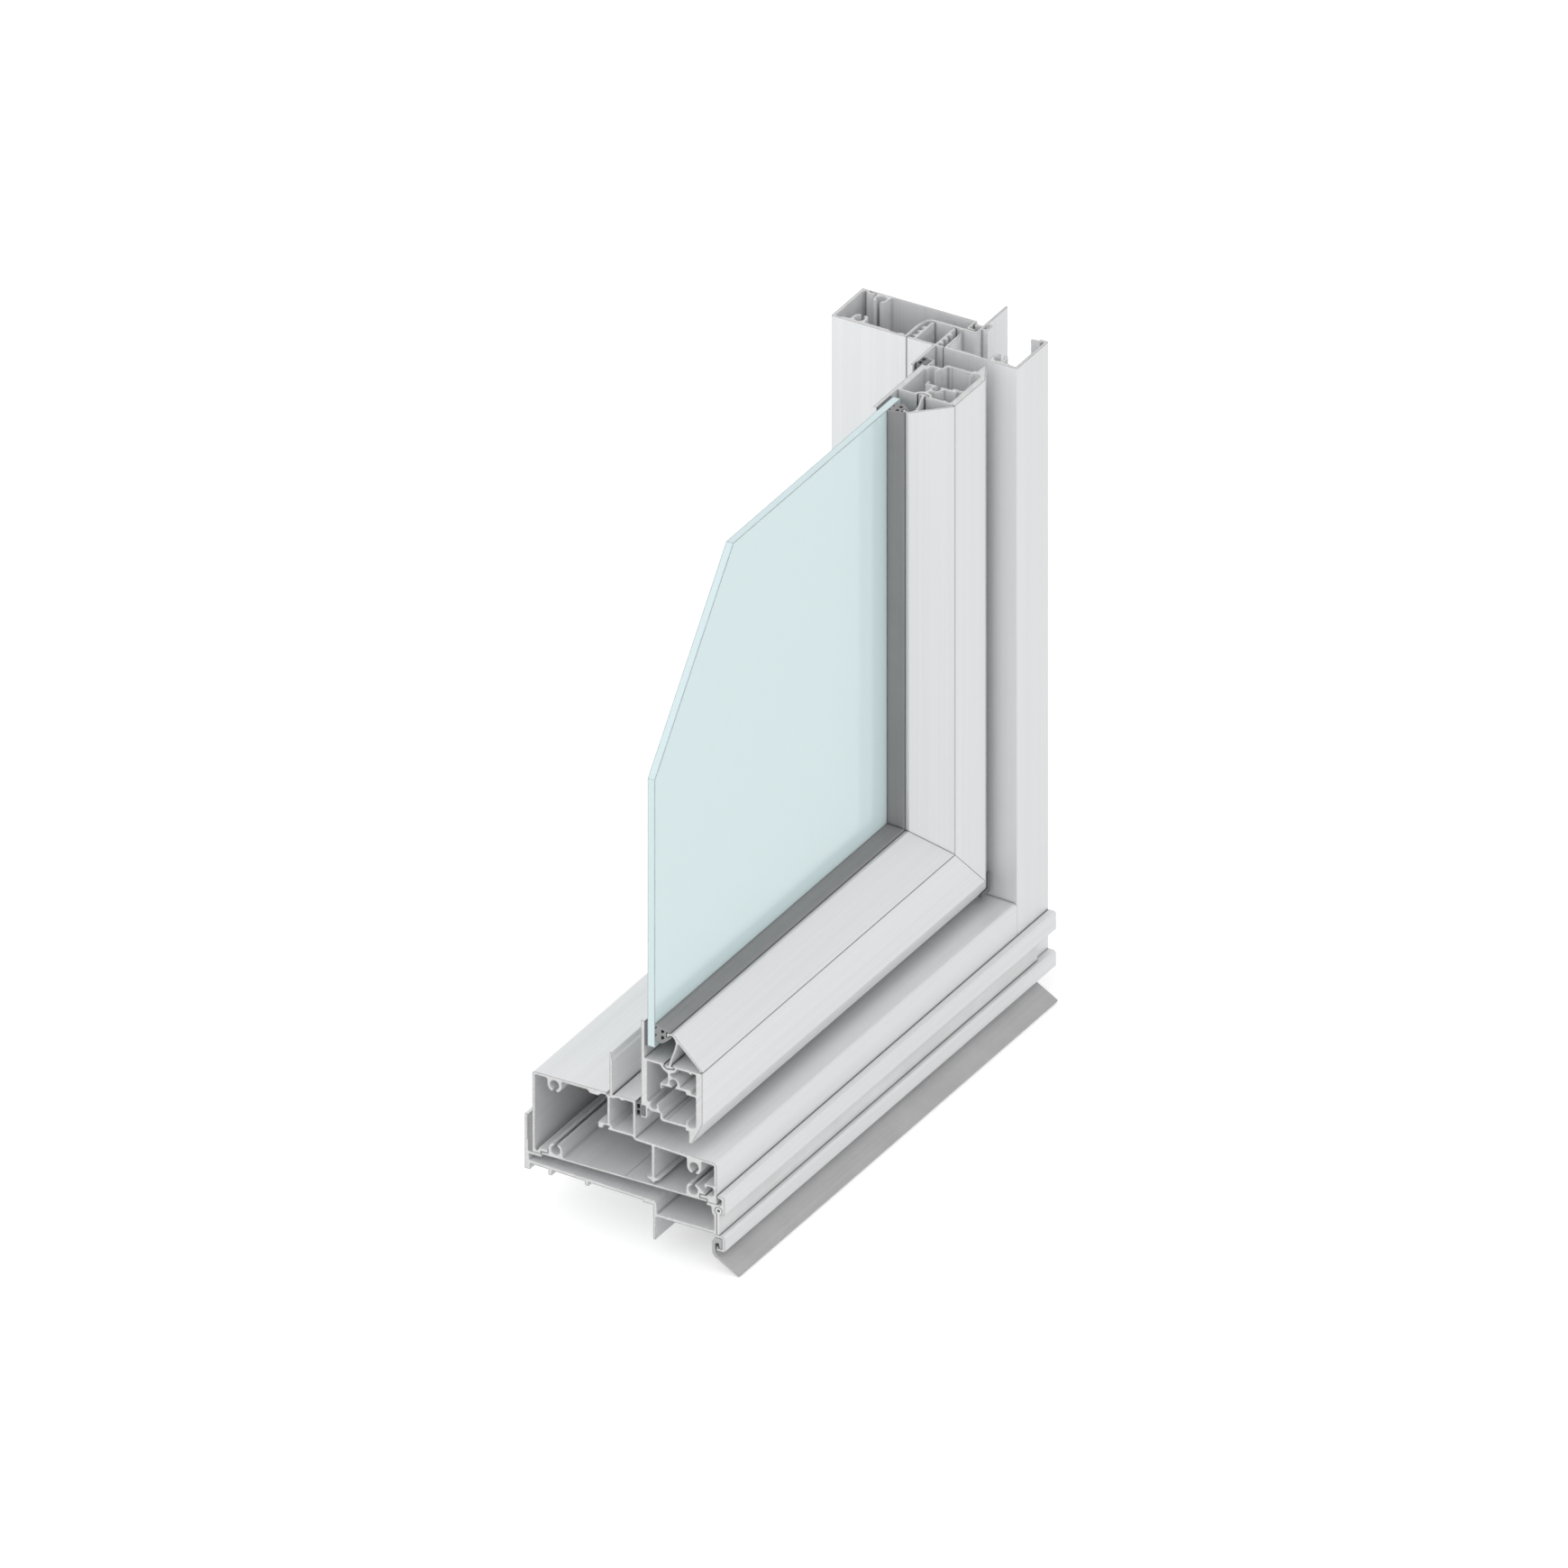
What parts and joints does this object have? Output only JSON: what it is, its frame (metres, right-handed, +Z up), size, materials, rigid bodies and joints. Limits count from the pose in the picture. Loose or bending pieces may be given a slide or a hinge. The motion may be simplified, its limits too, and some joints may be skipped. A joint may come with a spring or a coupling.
{
  "type": "awning window corner section",
  "caption": "Cut-away corner of an outward-opening awning window: hollow sill and jamb, mitred glazed sash, gaskets, and a sub-sill with drain and weather flaps.",
  "frame": {"origin": "middle of the sub-sill's bearing pad, on its underside, which rests on the wall's sill", "axes": "+X from the room to the exterior, +Y along the sill towards the jamb, +Z up"},
  "size_m": [0.117, 0.3321, 0.3493],
  "materials": {
    "sub_sill": "satin anodised extrusion",
    "frame_sill": "satin anodised extrusion",
    "sill_base_plate": "satin anodised extrusion",
    "jamb_frame": "satin anodised extrusion",
    "jamb_back_plate": "satin anodised extrusion",
    "jamb_stop_cover": "satin anodised extrusion",
    "sash_bottom_rail": "satin anodised extrusion",
    "sash_stile": "satin anodised extrusion",
    "bottom_glazing_bead": "satin anodised extrusion",
    "side_glazing_bead": "satin anodised extrusion",
    "bottom_wedge_gasket": "matt",
    "side_wedge_gasket": "matt",
    "bottom_glazing_tape": "matt",
    "side_glazing_tape": "matt",
    "bottom_sash_seal": "matt",
    "side_sash_seal": "matt",
    "drain_flap_seal": "satin flexible vinyl",
    "weather_flap": "satin flexible vinyl",
    "upstand_sealant": "matt",
    "sash_corner_cap": "satin moulded plastic",
    "glass_pane": "polished"
  },
  "bodies": {
    "root": {"sub_sill": "sub_sill", "frame_sill": "frame_sill", "sill_base_plate": "sill_base_plate", "jamb_frame": "jamb_frame", "jamb_back_plate": "jamb_back_plate", "jamb_stop_cover": "jamb_stop_cover", "sash_bottom_rail": "sash_bottom_rail", "sash_stile": "sash_stile", "bottom_glazing_bead": "bottom_glazing_bead", "side_glazing_bead": "side_glazing_bead", "bottom_wedge_gasket": "bottom_wedge_gasket", "side_wedge_gasket": "side_wedge_gasket", "bottom_glazing_tape": "bottom_glazing_tape", "side_glazing_tape": "side_glazing_tape", "bottom_sash_seal": "bottom_sash_seal", "side_sash_seal": "side_sash_seal", "drain_flap_seal": "drain_flap_seal", "weather_flap": "weather_flap", "upstand_sealant": "upstand_sealant", "sash_corner_cap": "sash_corner_cap", "glass_pane": "glass_pane"}
  },
  "joints": []
}
